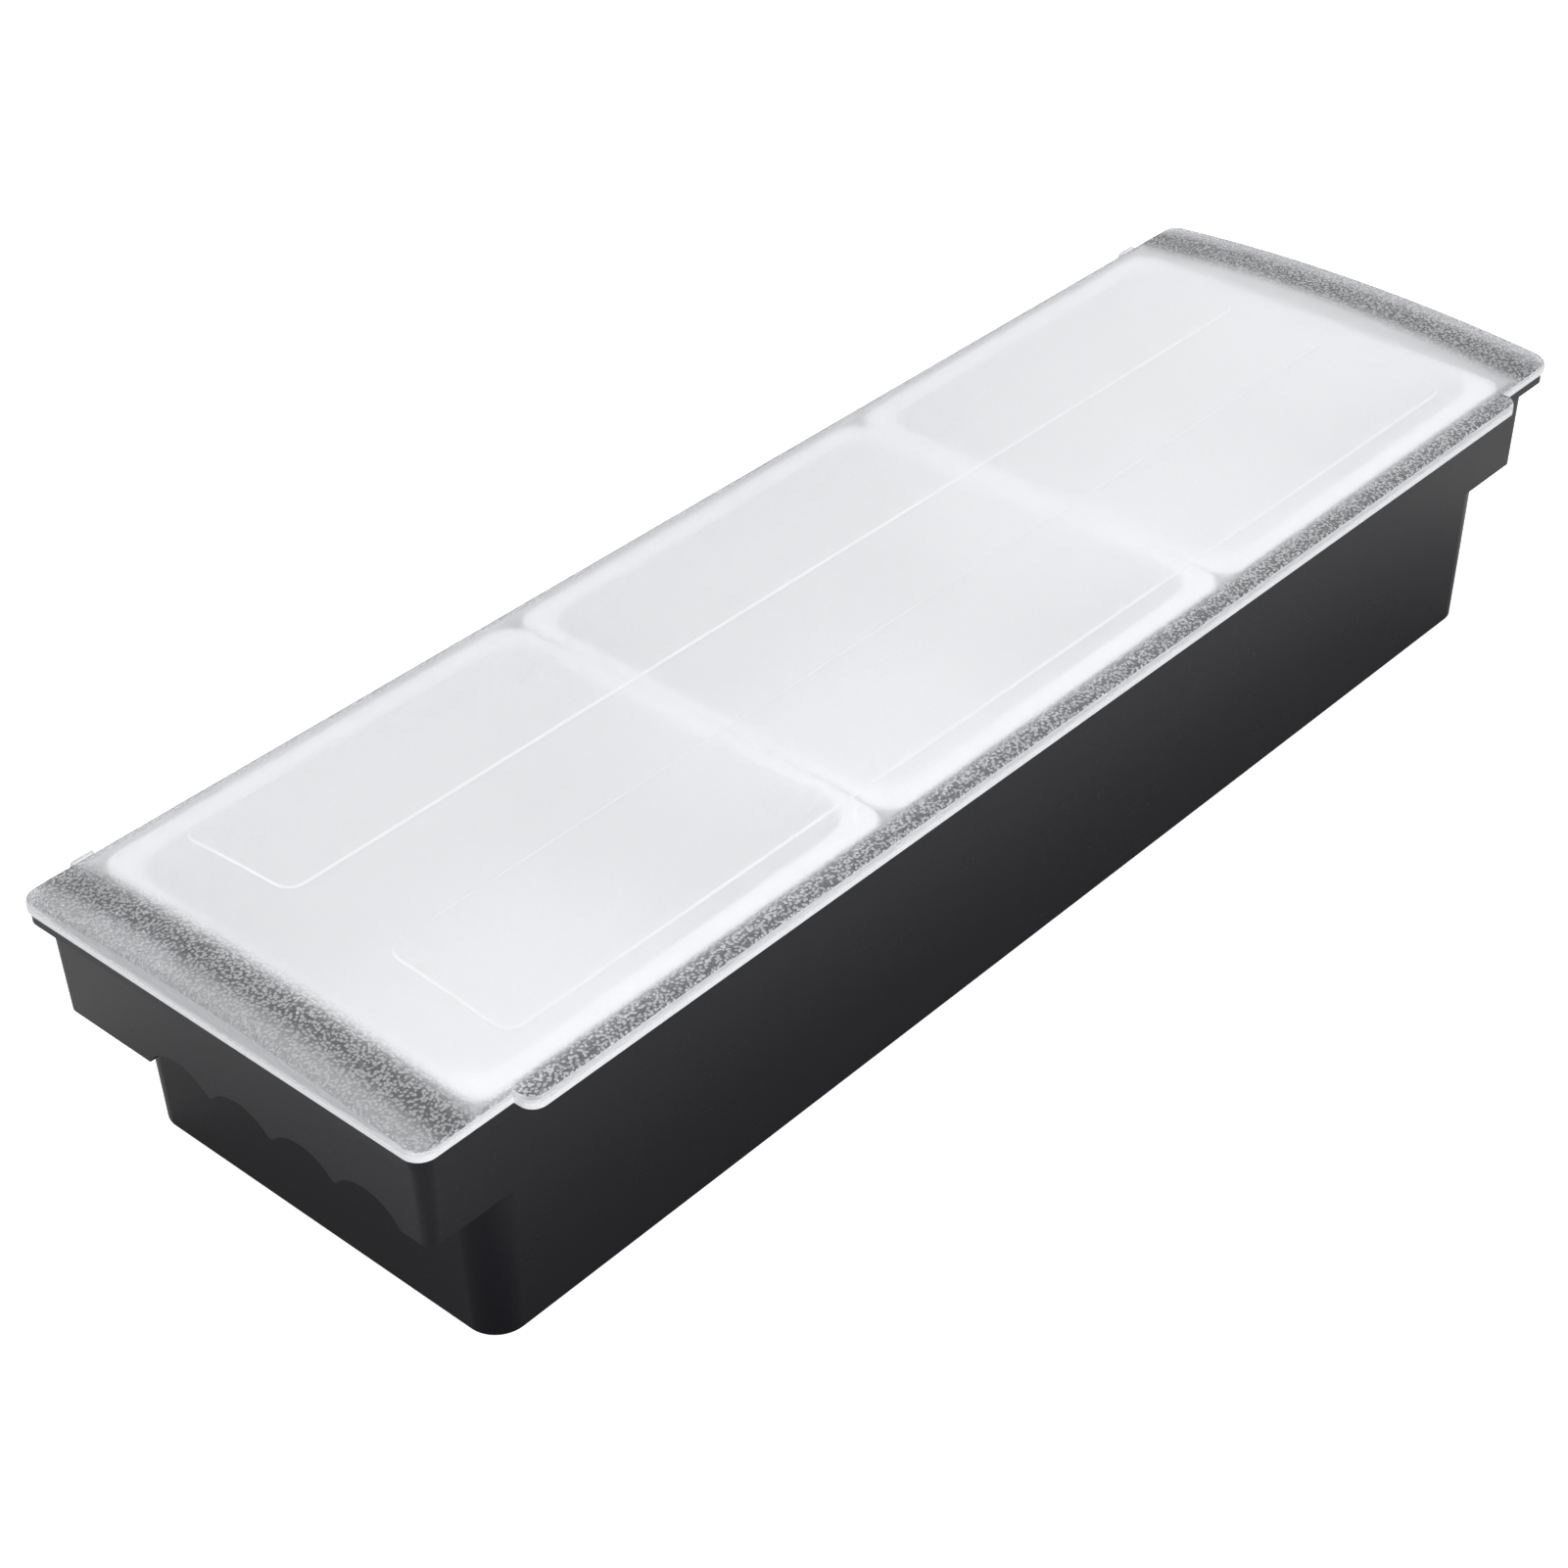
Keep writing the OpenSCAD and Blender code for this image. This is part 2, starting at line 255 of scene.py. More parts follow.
# Fine even grain of moulded plastic, with slow changes of gloss
grainGroup, grainIn, grainOut = newGroup(
    "fineGrain",
    [
        ("Grain Size", "NodeSocketFloat", 0.0004),
        ("Roughness", "NodeSocketFloat", 0.4),
        ("Gloss Change", "NodeSocketFloat", 0.08),
    ],
    [("Height", "NodeSocketFloat"), ("Roughness", "NodeSocketFloat")],
)
grainCoords = addNode(grainGroup, "ShaderNodeTexCoord")
grainNoise = addNode(grainGroup, "ShaderNodeTexNoise")
grainNoise.inputs["Detail"].default_value = grain["fineDetail"]
grainGroup.links.new(grainCoords.outputs["Object"], grainNoise.inputs["Vector"])
grainPerMetre = mathNode(grainGroup, "DIVIDE", 1.0, grainIn.outputs["Grain Size"])
grainGroup.links.new(grainPerMetre, grainNoise.inputs["Scale"])
grainSlow = addNode(grainGroup, "ShaderNodeTexNoise")
grainSlow.inputs["Scale"].default_value = grain["glossScale"]
grainSlow.inputs["Detail"].default_value = grain["glossDetail"]
grainGroup.links.new(grainCoords.outputs["Object"], grainSlow.inputs["Vector"])
grainChange = mathNode(
    grainGroup, "MULTIPLY", mathNode(grainGroup, "SUBTRACT", grainSlow.outputs["Fac"], 0.5),
    grainIn.outputs["Gloss Change"],
)
grainGroup.links.new(grainNoise.outputs["Fac"], grainOut.inputs["Height"])
grainRoughness = mathNode(grainGroup, "ADD", grainIn.outputs["Roughness"], grainChange)
grainGroup.links.new(grainRoughness, grainOut.inputs["Roughness"])


def newMaterial(name):
    material = bpy.data.materials.new(name)
    material.use_nodes = True
    tree = material.node_tree
    shader = tree.nodes["Principled BSDF"]
    return material, tree, shader


def bumpFrom(tree, shader, height, distance):
    bump = addNode(tree, "ShaderNodeBump")
    bump.inputs["Strength"].default_value = 1.0
    bump.inputs["Distance"].default_value = distance
    tree.links.new(height, bump.inputs["Height"])
    tree.links.new(bump.outputs["Normal"], shader.inputs["Normal"])


def grainedMaterial(name, colour, roughness, grainSize, depth, specular=0.5, metallic=0):
    material, tree, shader = newMaterial(name)
    group = addNode(tree, "ShaderNodeGroup", node_tree=grainGroup)
    group.inputs["Grain Size"].default_value = grainSize
    group.inputs["Roughness"].default_value = roughness
    tree.links.new(group.outputs["Roughness"], shader.inputs["Roughness"])
    shader.inputs["Base Color"].default_value = (*colour, 1)
    shader.inputs["Specular IOR Level"].default_value = specular
    shader.inputs["Metallic"].default_value = metallic
    bumpFrom(tree, shader, group.outputs["Height"], depth)
    return material


def letLampsThrough(material, tree, shader, share):  # lamps shine through the clear plastic
    output = tree.nodes["Material Output"]
    path = addNode(tree, "ShaderNodeLightPath")
    clear = addNode(tree, "ShaderNodeBsdfTransparent")
    clear.inputs["Color"].default_value = (share, share, share, 1)
    mix = addNode(tree, "ShaderNodeMixShader")
    tree.links.new(path.outputs["Is Shadow Ray"], mix.inputs["Fac"])
    tree.links.new(shader.outputs["BSDF"], mix.inputs[1])
    tree.links.new(clear.outputs["BSDF"], mix.inputs[2])
    tree.links.new(mix.outputs["Shader"], output.inputs["Surface"])


border = {
    "middle": (-0.001, 0.0007),  # of the frost's soft middle field, along X and Y
    "fadeX": (0.2235, 0.2325),
    "fadeY": (0.0710, 0.0765),
    "endFade": (0.2365, 0.2435),  # the painted shade in the pits gets weaker again towards the lid's ends
    "endPaintedShade": 0.45,
    "paintedShadeHeights": (-0.24, -0.06),  # pebble heights from pit to peak, over which the painted shade fades out
    "paintedShadeShare": (0.95, 0.3),
}

# The lid's frost: coarse, glossier and pitted along the border, soft in the middle, with painted shade in the
# border's pits that stands in for the dark tub showing through the lid
borderGroup, borderIn, borderOut = newGroup(
    "frostBorder",
    [
        ("Height", "NodeSocketFloat", 0.0),
        ("Middle Roughness", "NodeSocketFloat", 0.32),
        ("Border Roughness", "NodeSocketFloat", 0.12),
        ("Middle Share", "NodeSocketFloat", 0.15),
        ("Light", "NodeSocketColor", None),
        ("Painted Shade", "NodeSocketColor", None),
    ],
    [("Height", "NodeSocketFloat"), ("Roughness", "NodeSocketFloat"), ("Color", "NodeSocketColor")],
)
borderCoords = addNode(borderGroup, "ShaderNodeTexCoord")
borderSplit = addNode(borderGroup, "ShaderNodeSeparateXYZ")
borderGroup.links.new(borderCoords.outputs["Object"], borderSplit.inputs[0])
borderFades = []
for axis, middle, span in zip("XY", border["middle"], (border["fadeX"], border["fadeY"])):
    offset = mathNode(borderGroup, "SUBTRACT", borderSplit.outputs[axis], middle)
    away = mathNode(borderGroup, "ABSOLUTE", offset)
    borderFades.append(fadeBetween(borderGroup, away, span, (0.0, 1.0)))
borderMask = mathNode(borderGroup, "MAXIMUM", *borderFades)
borderAway = mathNode(borderGroup, "ABSOLUTE", borderSplit.outputs["X"])
paintedShadeEnd = fadeBetween(borderGroup, borderAway, border["endFade"], (1.0, border["endPaintedShade"]))
paintedShadeMask = mathNode(borderGroup, "MULTIPLY", borderMask, paintedShadeEnd)
for label, first, second in (
    ("Height", borderIn.outputs["Middle Share"], 1.0),
    ("Roughness", borderIn.outputs["Middle Roughness"], borderIn.outputs["Border Roughness"]),
):
    blend = addNode(borderGroup, "ShaderNodeMix", data_type="FLOAT")
    borderGroup.links.new(borderMask, blend.inputs["Factor"])
    for socket, value in (("A", first), ("B", second)):
        if isinstance(value, float):
            blend.inputs[socket].default_value = value
        else:
            borderGroup.links.new(value, blend.inputs[socket])
    result = blend.outputs["Result"]
    if label == "Height":
        result = mathNode(borderGroup, "MULTIPLY", borderIn.outputs["Height"], result)
    borderGroup.links.new(result, borderOut.inputs[label])
# painted shade: the pebbles' low parts along the border get a dark colour, standing in for the dark tub showing
# through the lid
paintedShadeByHeight = fadeBetween(borderGroup, borderIn.outputs["Height"], border["paintedShadeHeights"], border["paintedShadeShare"])
paintedShadeMix = addNode(borderGroup, "ShaderNodeMix", data_type="RGBA")
paintedShadeAmount = mathNode(borderGroup, "MULTIPLY", paintedShadeMask, paintedShadeByHeight)
borderGroup.links.new(paintedShadeAmount, paintedShadeMix.inputs["Factor"])
for label, socket in (("Light", 6), ("Painted Shade", 7)):  # a colour mix has its colours at sockets 6 and 7
    borderGroup.links.new(borderIn.outputs[label], paintedShadeMix.inputs[socket])
borderGroup.links.new(paintedShadeMix.outputs[2], borderOut.inputs["Color"])

frost = {
    "colour": (0.93, 0.94, 0.96),
    # the dark colour of the painted shade in the border's pits
    "paintedShadeColour": (0.08, 0.08, 0.085),
    "topRoughness": 0.32,
    "borderRoughness": 0.24,
    "middleShare": 0.15,
    "sideRoughness": 0.2,
    "stripRoughness": 0.35,
    "transmission": 0.68,
    "stripTransmission": 0.15,
    "ior": 1.49,
    "cellSize": 0.0009,
    "cellDepth": 0.0005,
    "sideDepth": 0.00012,
    "stripDepth": 0.00004,
    "lampShare": 0.9,
}


def frostedMaterial(name, roughness, transmission, depth, bordered=False):
    material, tree, shader = newMaterial(name)
    shader.inputs["Base Color"].default_value = (*frost["colour"], 1)
    shader.inputs["Roughness"].default_value = roughness
    shader.inputs["IOR"].default_value = frost["ior"]
    shader.inputs["Transmission Weight"].default_value = transmission
    group = addNode(tree, "ShaderNodeGroup", node_tree=pebbleGroup)
    group.inputs["Cell Size"].default_value = frost["cellSize"]
    height = group.outputs["Height"]
    if bordered:
        edging = addNode(tree, "ShaderNodeGroup", node_tree=borderGroup)
        edging.inputs["Middle Roughness"].default_value = roughness
        edging.inputs["Border Roughness"].default_value = frost["borderRoughness"]
        edging.inputs["Middle Share"].default_value = frost["middleShare"]
        edging.inputs["Light"].default_value = (*frost["colour"], 1)
        edging.inputs["Painted Shade"].default_value = (*frost["paintedShadeColour"], 1)
        # the border's colour carries the painted shade
        tree.links.new(edging.outputs["Color"], shader.inputs["Base Color"])
        tree.links.new(height, edging.inputs["Height"])
        tree.links.new(edging.outputs["Roughness"], shader.inputs["Roughness"])
        height = edging.outputs["Height"]
    bumpFrom(tree, shader, height, depth)
    letLampsThrough(material, tree, shader, frost["lampShare"])
    return material


lidTopFinish = frostedMaterial(
    "pebbledFrost", frost["topRoughness"], frost["transmission"], frost["cellDepth"], bordered=True
)
lidSideFinish = frostedMaterial("smoothFrost", frost["sideRoughness"], frost["transmission"], frost["sideDepth"])
# painted glow: a more opaque, brighter copy of the frost stands in for light piped out through the lid's lower
# edge; it also paints highlight lines on the panel outlines
lidPaintedGlow = frostedMaterial(
    "paintedGlowStrip", frost["stripRoughness"], frost["stripTransmission"], frost["stripDepth"]
)

black = {
    "colour": (0.003, 0.003, 0.0065), "roughness": 0.27, "specular": 0.24,
    "grainSize": 0.00045, "depth": 0.00001,
}
white = {
    "colour": (0.88, 0.88, 0.87), "roughness": 0.35, "specular": 0.4,
    "grainSize": 0.0008, "depth": 0.00001,
}
steel = {
    "colour": (0.72, 0.73, 0.75), "roughness": 0.28, "metallic": 1,
    "grainSize": 0.0002, "depth": 0.000005,
}

blackPlastic = grainedMaterial("blackPlastic", **black)
whitePlastic = grainedMaterial("whitePlastic", **white)
pinSteel = grainedMaterial("pinSteel", **steel)
print("materials made")


lid = {
    "wall": 0.0018,
    "width": 0.1505,
    "height": 0.0087,  # from its lower edge to the top of its box
    "cornerRadius": 0.0055,
    "sideHeight": 0.0037,
    "rise": 0.0049,
    "edgeRadius": 0.0020,
    "innerEdgeRadius": 0.0008,
    "endGrow": 0.0022,  # how much wider the rolled edge is at the middle of an end
    "archCuts": 50,
    "stripHeight": 0.0019,  # smooth strip along the lower edge, made bright by painted glow
    "flatHeight": 0.0005,  # the lower edge stays flat up to here
}
lip = {
    "length": 0.434, "reach": 0.0066, "height": 0.0044, "root": 0.0007,
    "cornerRadius": 0.0045, "edgeRadius": 0.0016,
    "fillFrom": 0.0002, "fillTo": 0.0035, "fillDepth": 0.0015,  # closes the crease between the lip and the lid
}
panel = {
    "length": 0.411, "width": 0.045, "gap": 0.034, "radius": 0.006,
    "step": 0.00035, "edge": 0.0012, "depth": 0.0025,
}
rib = {
    "inset": 0.0095, "length": 0.031, "back": 0.042, "thickness": 0.0016,
    "gusset": 0.0035, "gussetGap": 0.012,
    "lift": 0.0003, "gussetLift": 0.00035, "gussetDrop": 0.0001,  # so that no two faces share a plane
}
hinge = {
    "inset": 0.0125, "drop": 0.00125, "knuckleRadius": 0.0024, "knuckleWidth": 0.007, "earWidth": 0.0024,
    "pinRadius": 0.001, "pinPlay": 0.00008, "swingGap": 0.0004, "sideGap": 0.0003,
    "openAngle": 110, "stopReach": 0.0036, "stopWidth": 0.007, "stopThickness": 0.0024, "stopSet": 0.0005,
}

lidLow = lidBox[1].z - lid["height"]
lidSideTop = lidLow + lid["sideHeight"]
lidHalf = lidBox[1].x
lidFront = lidBox[0].y + lip["reach"]
lidMid = lidFront + lid["width"] / 2
lidBack = lidFront + lid["width"]
archRadius = ((lid["width"] / 2) ** 2 + lid["rise"] ** 2) / (2 * lid["rise"])
hingeX = lidHalf - hinge["inset"]
hingeZ = lidLow - hinge["drop"]


def archRise(y):  # rise of the arched top above its long edges
    away = min(abs(y - lidMid), lid["width"] / 2)
    return math.sqrt(archRadius ** 2 - away ** 2) - (archRadius - lid["rise"])


def archPoint(point):  # lifts a point of the flat lid, and widens the rolled edge at its ends with the lift
    lift = archRise(point.y)
    if point.z < lidLow + lid["flatHeight"] or lift < tiny:
        return
    side = math.copysign(1, point.x)
    for edge, radius, top in (
        (lidHalf, lid["edgeRadius"], lidSideTop),
        (lidHalf - lid["wall"], lid["innerEdgeRadius"], lidSideTop - lid["wall"]),
    ):
        inward = edge - abs(point.x)
        low = top - radius
        if -tiny < inward < radius + tiny and low - tiny < point.z < top + tiny:
            grow = lid["endGrow"] * lift / lid["rise"]
            point.x = side * (edge - inward * (radius + grow) / radius)
            point.z = top + lift - (top - point.z) * (radius + grow) / radius
            return
    point.z += lift


def finishLipBlock(lipBlock):  # square back corners, rounded upper front edge
    editing(lipBlock)
    back = lidFront + lip["root"]
    top = lidLow + lip["height"]
    pickEdges(lipBlock, lambda a, b: min(a.z, b.z) > top - tiny and min(a.y, b.y) < back - tiny)
    bpy.ops.mesh.bevel(offset=lip["edgeRadius"], segments=5, clamp_overlap=False)
    calm()


def makeLip():
    half = lip["length"] / 2
    low = (-half, lidFront - lip["reach"], lidLow)
    high = (half, lidFront + lip["root"], lidLow + lip["height"])
    lipBlock = block("lipBlock", low, high)
    editing(lipBlock)
    pickEdges(lipBlock, lambda a, b: abs(a.z - b.z) > tiny and a.y < lidFront - tiny)
    bpy.ops.mesh.bevel(offset=lip["cornerRadius"], segments=10, clamp_overlap=False)
    calm()
    finishLipBlock(lipBlock)
    return lipBlock


def makeLid():
    wall = lid["wall"]
    shell = roundedBlock(
        "lidShell", (-lidHalf, lidFront, lidLow), (lidHalf, lidBack, lidSideTop), lid["cornerRadius"],
        segments=12,
    )
    roundTop(shell, lid["edgeRadius"], segments=6)
    combine(shell, makeLip(), "UNION")
    lipHalf = lip["length"] / 2
    filler = block(
        "creaseFiller",
        (-lipHalf + lip["cornerRadius"] / 2, lidFront + lip["fillFrom"], lidSideTop - lip["fillDepth"]),
        (lipHalf - lip["cornerRadius"] / 2, lidFront + lip["fillTo"], lidSideTop),
    )
    combine(shell, filler, "UNION")
    for side in (-1, 1):
        middle = lidMid + side * (panel["gap"] + panel["width"]) / 2
        plate = roundedBlock(
            "panelPlate",
            (-panel["length"] / 2, middle - panel["width"] / 2, lidSideTop - panel["depth"]),
            (panel["length"] / 2, middle + panel["width"] / 2, lidSideTop + panel["step"]),
            panel["radius"],
        )
        roundTop(plate, panel["edge"], segments=6)
        combine(shell, plate, "UNION")
    inner = roundedBlock(
        "lidInner",
        (-lidHalf + wall, lidFront + wall, lidLow - wall),
        (lidHalf - wall, lidBack - wall, lidSideTop - wall),
        lid["cornerRadius"] - wall,
    )
    roundTop(inner, lid["innerEdgeRadius"], segments=3)
    combine(shell, inner, "DIFFERENCE")
    hollow = block(
        "lipHollow",
        (-lipHalf + wall, lidFront - lip["reach"] + wall, lidLow - wall),
        (lipHalf - wall, lidFront, lidLow + lip["height"] - wall),
    )
    editing(hollow)
    pickEdges(hollow, lambda a, b: abs(a.z - b.z) > tiny and a.y < lidFront - tiny)
    bpy.ops.mesh.bevel(offset=lip["cornerRadius"] - wall, segments=8, clamp_overlap=False)
    combine(shell, hollow, "DIFFERENCE")
    for side in (-1, 1):
        x = side * (lidHalf - rib["inset"])
        y = lidMid + rib["back"]
        top = lidSideTop - wall / 2
        bar = block(
            "ribBar",
            (x - rib["thickness"] / 2, y - rib["length"] / 2, lidLow + rib["lift"]),
            (x + rib["thickness"] / 2, y + rib["length"] / 2, top),
        )
        combine(shell, bar, "UNION")
        for end in (-1, 1):
            near, far = sorted((x, x - side * rib["gusset"]))
            place = y + end * rib["gussetGap"] / 2
            gusset = block(
                "gusset",
                (near, place - rib["thickness"] / 2, lidLow + rib["gussetLift"]),
                (far, place + rib["thickness"] / 2, top - rib["gussetDrop"]),
            )
            combine(shell, gusset, "UNION")
    tidyMesh(shell)

    # cuts across the top, then the top is lifted into its arch
    editing(shell)
    for i in range(1, lid["archCuts"]):
        y = lidFront + lid["width"] * i / lid["archCuts"]
        bpy.ops.mesh.select_all(action="SELECT")
        bpy.ops.mesh.bisect(plane_co=(0, y, 0), plane_no=(0, 1, 0))
    calm()
    for vertex in shell.data.vertices:
        archPoint(vertex.co)

    # hinge knuckles and stop lugs, with room for the ears beside them
    earX = hinge["knuckleWidth"] / 2 + hinge["sideGap"] + hinge["earWidth"] / 2
    radius = hinge["knuckleRadius"]
    for side in (-1, 1):
        for end in (-1, 1):
            room = rod(
                "earRoom", (side * hingeX + end * earX, lidBack, hingeZ),
                radius + hinge["swingGap"], hinge["earWidth"] + 2 * hinge["sideGap"],
            )
            combine(shell, room, "DIFFERENCE")
    for side in (-1, 1):
        knuckle = rod("knuckle", (side * hingeX, lidBack, hingeZ), radius, hinge["knuckleWidth"])
        half = hinge["knuckleWidth"] / 2
        web = block(
            "knuckleWeb",
            (side * hingeX - half + tiny, lidBack - radius, hingeZ),
            (side * hingeX + half - tiny, lidBack - tiny, lidSideTop - wall / 2),
        )
        combine(knuckle, web, "UNION")
        bore = rod(
            "bore", (side * hingeX, lidBack, hingeZ), hinge["pinRadius"] + hinge["pinPlay"],
            2 * hinge["knuckleWidth"], segments=32,
        )
        combine(shell, knuckle, "UNION")
        combine(shell, bore, "DIFFERENCE")
        stopX = side * (hingeX - half - hinge["earWidth"] - 3 * hinge["sideGap"] - hinge["stopWidth"] / 2)
        lug = block(
            "stopLug",
            (stopX - hinge["stopWidth"] / 2, -hinge["stopSet"], -hinge["stopReach"]),
            (stopX + hinge["stopWidth"] / 2, hinge["stopThickness"] - hinge["stopSet"], 0),
        )
        lug.rotation_euler = (math.radians(hinge["openAngle"]), 0, 0)
        lug.location = (0, lidBack, hingeZ)
        pickUp(lug)
        bpy.ops.object.transform_apply(location=True, rotation=True, scale=True)
        combine(shell, lug, "UNION")
    editing(shell)
    bpy.ops.mesh.select_all(action="SELECT")
    bpy.ops.mesh.bisect(plane_co=(0, 0, lidLow + lid["stripHeight"]), plane_no=(0, 0, 1))
    calm()
    shell.name = "lid_frosted"
    return shell


# which slope of its normal gives a face its finish, and how near to the lip's top it lies
facing = {"lipTop": 0.9, "top": 0.5, "strip": 0.5, "panelEdge": 0.1, "lipDrop": 0.0002}


def paintLid(shell):
    shell.data.materials.clear()
    shell.data.materials.append(lidTopFinish)
    shell.data.materials.append(lidSideFinish)
    shell.data.materials.append(lidPaintedGlow)
    for face in shell.data.polygons:
        spot = face.center
        onLipTop = face.normal.z > facing["lipTop"] and spot.z > lidLow + lip["height"] - facing["lipDrop"]
        onTop = face.normal.z > facing["top"] and spot.z > lidLow + lid["wall"]
        lean = abs(face.normal.y - (spot.y - lidMid) / archRadius)
        onPanelEdge = (
            onTop
            and abs(spot.x) < panel["length"] / 2 + tiny
            and abs(spot.y - lidMid) < panel["gap"] / 2 + panel["width"]
            and max(abs(face.normal.x), lean) > facing["panelEdge"]
        )
        onTop = onTop and not onPanelEdge
        onStrip = lidLow - tiny < spot.z < lidLow + lid["stripHeight"] and abs(face.normal.z) < facing["strip"]
        # the lower strip and the panel outlines get the painted-glow copy of the frost
        face.material_index = 2 if onStrip or onPanelEdge else 0 if onLipTop or onTop else 1


lidPiece = makeLid()
paintLid(lidPiece)
smooth(lidPiece)
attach(lidPiece, "lid")
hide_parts("lid")
print("lid made", len(lidPiece.data.polygons))


base = {
    "merge": 2e-6, "edgeRadius": 0.0005, "lobeRadius": 0.0014,
    "fingerRadius": 0.014, "fingerPitch": 0.0235, "fingerZ": 0.04145, "fingerMiddle": -0.00948,
    "skirtIn": 0.237, "skirtOut": 0.245,
    "cutterDrop": 0.003, "tipSpare": 0.002,  # how far the cutting forms reach past the lobes
    "joinBand": 0.0004, "joinMerge": 0.00015,
}


def roundLobes(piece):  # rounds the points between the finger scallops
    tip = base["lobeRadius"]
    reach = base["fingerRadius"] + tip
    rise = math.sqrt(reach ** 2 - (base["fingerPitch"] / 2) ** 2)
    half = base["fingerPitch"] / 2 * tip / reach  # where the lobe's circle meets the scallops
    join = base["fingerZ"] + rise * base["fingerRadius"] / reach
    for side in (-1, 1):
        for place in (-1, 0, 1):
            y = base["fingerMiddle"] + place * base["fingerPitch"]
            low, high = sorted((side * base["skirtIn"], side * base["skirtOut"]))
            cutter = block(
                "lobeCutter", (low, y - half, base["fingerZ"] + rise - tip - base["cutterDrop"]),
                (high, y + half, join),
            )
            keep = rod(
                "lobeTip", ((low + high) / 2, y, base["fingerZ"] + rise), tip, high - low + base["tipSpare"],
                segments=48,
            )
            combine(cutter, keep, "DIFFERENCE")
            combine(piece, cutter, "DIFFERENCE")
    # the tiny steps where a lobe meets its scallops are merged away
    editing(piece, "VERT")
    mesh = bmesh.from_edit_mesh(piece.data)
    for vertex in mesh.verts:
        vertex.select_set(abs(vertex.co.x) > base["skirtIn"] and abs(vertex.co.z - join) < base["joinBand"])
    bmesh.update_edit_mesh(piece.data)
    bpy.ops.mesh.remove_doubles(threshold=base["joinMerge"])
    calm()


def makeBase():
    calm()
    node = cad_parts["base"]
    piece = bpy.data.objects.new("tub_black", node.data.copy())
    bpy.context.scene.collection.objects.link(piece)
    tidyMesh(piece, base["merge"], flat=0.4)
    roundLobes(piece)
    softenEdges(piece, base["edgeRadius"], segments=3, angle=35)
    return piece


tub = makeBase()
tub.data.materials.clear()
tub.data.materials.append(blackPlastic)
smooth(tub)
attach(tub, "base")
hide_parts("base")
print("tub made", len(tub.data.polygons))


insert = {
    "rimThickness": 0.0016, "rimRadius": 0.008, "rimEdge": 0.0006,
    "endSet": 0.0034, "sideSet": 0.0061, "wall": 0.0016,
    "bodyRadius": 0.013, "depth": 0.058, "draft": 4.0, "toe": 0.006,
    "over": 0.004,  # how far the cavity's cutter stands above the rim
}


def makeInsert(name):
    low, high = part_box(name)
    middle = (low + high) / 2
    rimTop = high.z
    seat = rimTop - insert["rimThickness"]
    rim = roundedBlock(
        name + "_shell", (low.x, low.y, seat), (high.x, high.y, rimTop), insert["rimRadius"], segments=12
    )
    length = high.x - low.x - 2 * insert["endSet"]
    width = high.y - low.y - 2 * insert["sideSet"]
    slope = math.tan(math.radians(insert["draft"]))
    straight = insert["depth"] - insert["toe"]
    lap = insert["rimThickness"] / 2
    body = hungCup(
        "cupBody", (middle.x, middle.y, seat + lap), length, width, insert["bodyRadius"],
        [(tiny, lap), (straight * slope, straight), (insert["toe"], insert["toe"])], segments=12,
    )
    wall = insert["wall"]
    cavity = hungCup(
        "cupCavity", (middle.x, middle.y, rimTop + insert["over"]),
        length - 2 * wall, width - 2 * wall, insert["bodyRadius"] - wall,
        [
            (tiny, insert["over"] + rimTop - seat),
            (straight * slope, straight),
            (insert["toe"] - wall, insert["toe"] - wall),
        ], segments=12,
    )
    combine(rim, body, "UNION")
    combine(rim, cavity, "DIFFERENCE")
    tidyMesh(rim)
    softenEdges(rim, insert["rimEdge"], segments=3, angle=25)
    rim.data.materials.clear()
    rim.data.materials.append(whitePlastic)
    smooth(rim)
    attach(rim, "base")
    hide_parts(name)
    return rim


for name in ("insert_left", "insert_middle", "insert_right"):
    cup = makeInsert(name)
    print(name, "made", len(cup.data.polygons))


pin = {"chamfer": 0.0003, "segments": 40}


def makePin(name):
    low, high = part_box(name)
    radius = (high.z - low.z) / 2
    piece = rod(name + "_steel", (low + high) / 2, radius, high.x - low.x, pin["segments"])
    editing(piece)
    pickEdges(piece, lambda a, b: abs(a.x - b.x) < tiny)
    bpy.ops.mesh.bevel(offset=pin["chamfer"], segments=2)
    calm()
    piece.data.materials.append(pinSteel)
    smooth(piece)
    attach(piece, "base")
    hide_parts(name)


for name in ("hinge_pin_left", "hinge_pin_right"):
    makePin(name)
print("pins made")


studio = {
    "floorSize": 30,
    "floorColour": 0.86,
    # the floor's painted shade close to the tray, and how far out it fades
    "floorPaintedShade": 0.47,
    "floorPaintedShadeFade": 0.058,
    "farSky": 0.6,
    "nearSky": 0.37,
    "skyEdge": (0.1, 0.85),
    "openSide": (-0.73, -0.68, 0.0),
    "cameraFill": 0.92,
    "clearFill": 0.15,
    "mirrorFill": 0.08,
}


